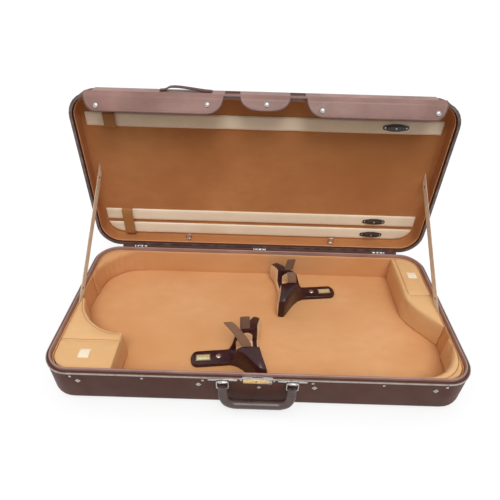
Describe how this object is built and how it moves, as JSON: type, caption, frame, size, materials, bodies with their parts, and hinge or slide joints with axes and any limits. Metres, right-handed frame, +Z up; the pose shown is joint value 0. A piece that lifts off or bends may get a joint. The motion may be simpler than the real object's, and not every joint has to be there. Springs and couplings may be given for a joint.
{
  "type": "double violin case",
  "caption": "Oblong case that holds two violins head to tail, shown open: padded base, neck cradles, pockets, and a hinged lid with bow holders.",
  "frame": {"origin": "centre of the base's underside, on the surface it stands on", "axes": "+X along the case to the right, +Y back to the hinges, +Z up"},
  "size_m": [0.802, 0.4481, 0.4705],
  "materials": {
    "leatherette": "fine-grained brown leatherette, satin",
    "velour": "tan velour, short even pile",
    "cream_ribbon": "cream padded ribbon",
    "webbing": "woven cream webbing",
    "glossy_vinyl": "dark brown glossy moulding",
    "hook_tape": "brown hook-and-loop tape",
    "bright_metal": "bright nickel plate",
    "brass": "polished brass",
    "dark_metal": "brown lacquered steel",
    "black_plastic": "dark moulded plastic"
  },
  "bodies": {
    "base": {"base_shell": "leatherette", "base_valance": "bright_metal", "base_lip": "leatherette", "base_lining": "velour", "rear_left_cushion": "velour", "front_right_cushion": "velour", "front_left_block": "velour", "rear_right_block": "velour", "front_cradle": "glossy_vinyl", "front_shoulder_pad": "velour", "front_neck_pad": "velour", "front_cradle_plate": "brass", "rear_cradle": "glossy_vinyl", "rear_shoulder_pad": "velour", "rear_neck_pad": "velour", "rear_cradle_plate": "brass", "lock_case": "bright_metal", "handle_plate_left": "bright_metal", "handle_plate_right": "bright_metal", "hinge_base_leaf_left": "bright_metal", "hinge_base_leaf_middle": "bright_metal", "hinge_base_leaf_right": "bright_metal", "stay_strap_left": "webbing", "stay_strap_right": "webbing"},
    "front_pocket_lid": {"front_pocket_lid": "velour", "front_pocket_tab": "cream_ribbon"},
    "rear_pocket_lid": {"rear_pocket_lid": "velour", "rear_pocket_tab": "cream_ribbon"},
    "front_strap_a": {"front_neck_strap_a": "hook_tape"},
    "front_strap_b": {"front_neck_strap_b": "hook_tape"},
    "rear_strap_a": {"rear_neck_strap_a": "hook_tape"},
    "rear_strap_b": {"rear_neck_strap_b": "hook_tape"},
    "lock_slide": {"lock_slide": "brass"},
    "handle": {"handle_bail_left": "bright_metal", "handle_bail_right": "bright_metal", "handle_grip": "leatherette"},
    "lid": {"lid_shell": "leatherette", "lid_lining": "velour", "lid_valance": "dark_metal", "hinge_lid_leaf_left": "bright_metal", "hinge_lid_leaf_middle": "bright_metal", "hinge_lid_leaf_right": "bright_metal", "bow_band_lower": "cream_ribbon", "bow_band_middle": "cream_ribbon", "bow_band_upper": "cream_ribbon", "tip_loop_lower": "velour", "tip_loop_upper": "velour", "bow_clip_plate_lower": "black_plastic", "bow_clip_plate_middle": "black_plastic", "bow_clip_plate_upper": "black_plastic", "lid_ring_plate_left": "bright_metal", "lid_ring_plate_right": "bright_metal", "flap_strip": "leatherette", "grab_strap": "black_plastic"},
    "flap": {"closing_flap": "leatherette"},
    "clip_button_lower": {"bow_clip_button_lower": "black_plastic"},
    "clip_button_middle": {"bow_clip_button_middle": "black_plastic"},
    "clip_button_upper": {"bow_clip_button_upper": "black_plastic"},
    "lid_ring_left": {"lid_ring_left": "bright_metal"},
    "lid_ring_right": {"lid_ring_right": "bright_metal"}
  },
  "joints": [
    {"name": "lid_hinge", "type": "hinge", "parent": "base", "child": "lid", "pos_m": [0, 0.192, 0.08015], "axis": [-1, 0, 0], "range_deg": [-90, 0], "deforming": ["stay_strap_left", "stay_strap_right"]},
    {"name": "flap_fold", "type": "hinge", "parent": "lid", "child": "flap", "pos_m": [0, 0.19275, 0.46275], "axis": [-1, 0, 0], "range_deg": [0, 59]},
    {"name": "handle_swing", "type": "hinge", "parent": "base", "child": "handle", "pos_m": [0, -0.1933, 0.075], "axis": [-1, 0, 0], "range_deg": [0, 110]},
    {"name": "lock_slide_travel", "type": "slide", "parent": "base", "child": "lock_slide", "axis": [1, 0, 0], "range_m": [0, 0.0048]},
    {"name": "front_pocket_hinge", "type": "hinge", "parent": "base", "child": "front_pocket_lid", "pos_m": [-0.32895, -0.1097, 0.0775], "axis": [-1, 0, 0], "range_deg": [0, 100]},
    {"name": "rear_pocket_hinge", "type": "hinge", "parent": "base", "child": "rear_pocket_lid", "pos_m": [0.3386, 0.1108, 0.0775], "axis": [0, -1, 0], "range_deg": [0, 100]},
    {"name": "front_strap_a_hinge", "type": "hinge", "parent": "base", "child": "front_strap_a", "pos_m": [-0.02232, -0.11349, 0.07788], "axis": [0.9936, 0.1132, 0], "range_deg": [-38, 0]},
    {"name": "front_strap_b_hinge", "type": "hinge", "parent": "base", "child": "front_strap_b", "pos_m": [-0.0274, -0.06889, 0.07788], "axis": [-0.9936, -0.1132, 0], "range_deg": [-40, 0]},
    {"name": "rear_strap_a_hinge", "type": "hinge", "parent": "base", "child": "rear_strap_a", "pos_m": [0.07132, 0.11949, 0.07788], "axis": [-0.9936, -0.1132, 0], "range_deg": [-50, 0]},
    {"name": "rear_strap_b_hinge", "type": "hinge", "parent": "base", "child": "rear_strap_b", "pos_m": [0.0764, 0.07489, 0.07788], "axis": [0.9936, 0.1132, 0], "range_deg": [-20, 0]},
    {"name": "clip_turn_lower", "type": "hinge", "parent": "lid", "child": "clip_button_lower", "pos_m": [0.281, 0.22195, 0.11465], "axis": [0, 1, 0], "range_deg": [0, 90]},
    {"name": "clip_turn_middle", "type": "hinge", "parent": "lid", "child": "clip_button_middle", "pos_m": [0.281, 0.22195, 0.15365], "axis": [0, 1, 0], "range_deg": [0, 90]},
    {"name": "clip_turn_upper", "type": "hinge", "parent": "lid", "child": "clip_button_upper", "pos_m": [0.281, 0.22195, 0.39415], "axis": [0, 1, 0], "range_deg": [0, 90]},
    {"name": "lid_ring_left_swing", "type": "hinge", "parent": "lid", "child": "lid_ring_left", "pos_m": [-0.18, 0.21015, 0.09555], "axis": [1, 0, 0], "range_deg": [0, 80]},
    {"name": "lid_ring_right_swing", "type": "hinge", "parent": "lid", "child": "lid_ring_right", "pos_m": [0.18, 0.21015, 0.09555], "axis": [1, 0, 0], "range_deg": [0, 80]}
  ],
  "couplings": [
    {"joint": "flap_fold", "follows": "lid_hinge", "ratio": -0.6555}
  ]
}
